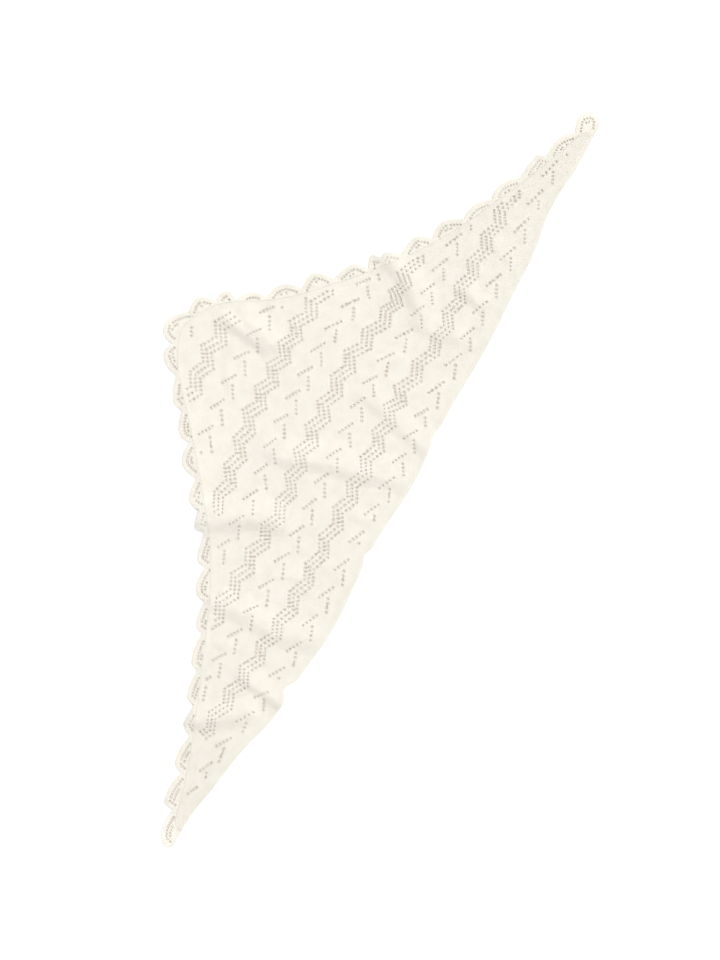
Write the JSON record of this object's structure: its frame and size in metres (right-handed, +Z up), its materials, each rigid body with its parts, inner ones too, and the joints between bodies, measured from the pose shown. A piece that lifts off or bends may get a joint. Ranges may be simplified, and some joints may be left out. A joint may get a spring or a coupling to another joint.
{
  "type": "triangle shawl",
  "caption": "Wide lace-knit triangle shawl with zigzag eyelet bands and a scalloped edging on both legs, laid flat with soft folds.",
  "frame": {"origin": "on the table under the middle of the whole laid shawl's bounding box", "axes": "+X along the long edge from the left tip to the right tip, +Y from the long edge toward the corner, +Z up from the table"},
  "size_m": [1.5064, 0.5313, 0.0159],
  "materials": {
    "lace_knit": "ivory lace knit in a soft matt yarn",
    "edging_knit": "ivory scalloped lace edging in the same soft matt yarn"
  },
  "bodies": {
    "root": {"lace_panel": "lace_knit", "scallop_edging_left": "edging_knit", "scallop_edging_right": "edging_knit"}
  },
  "joints": []
}
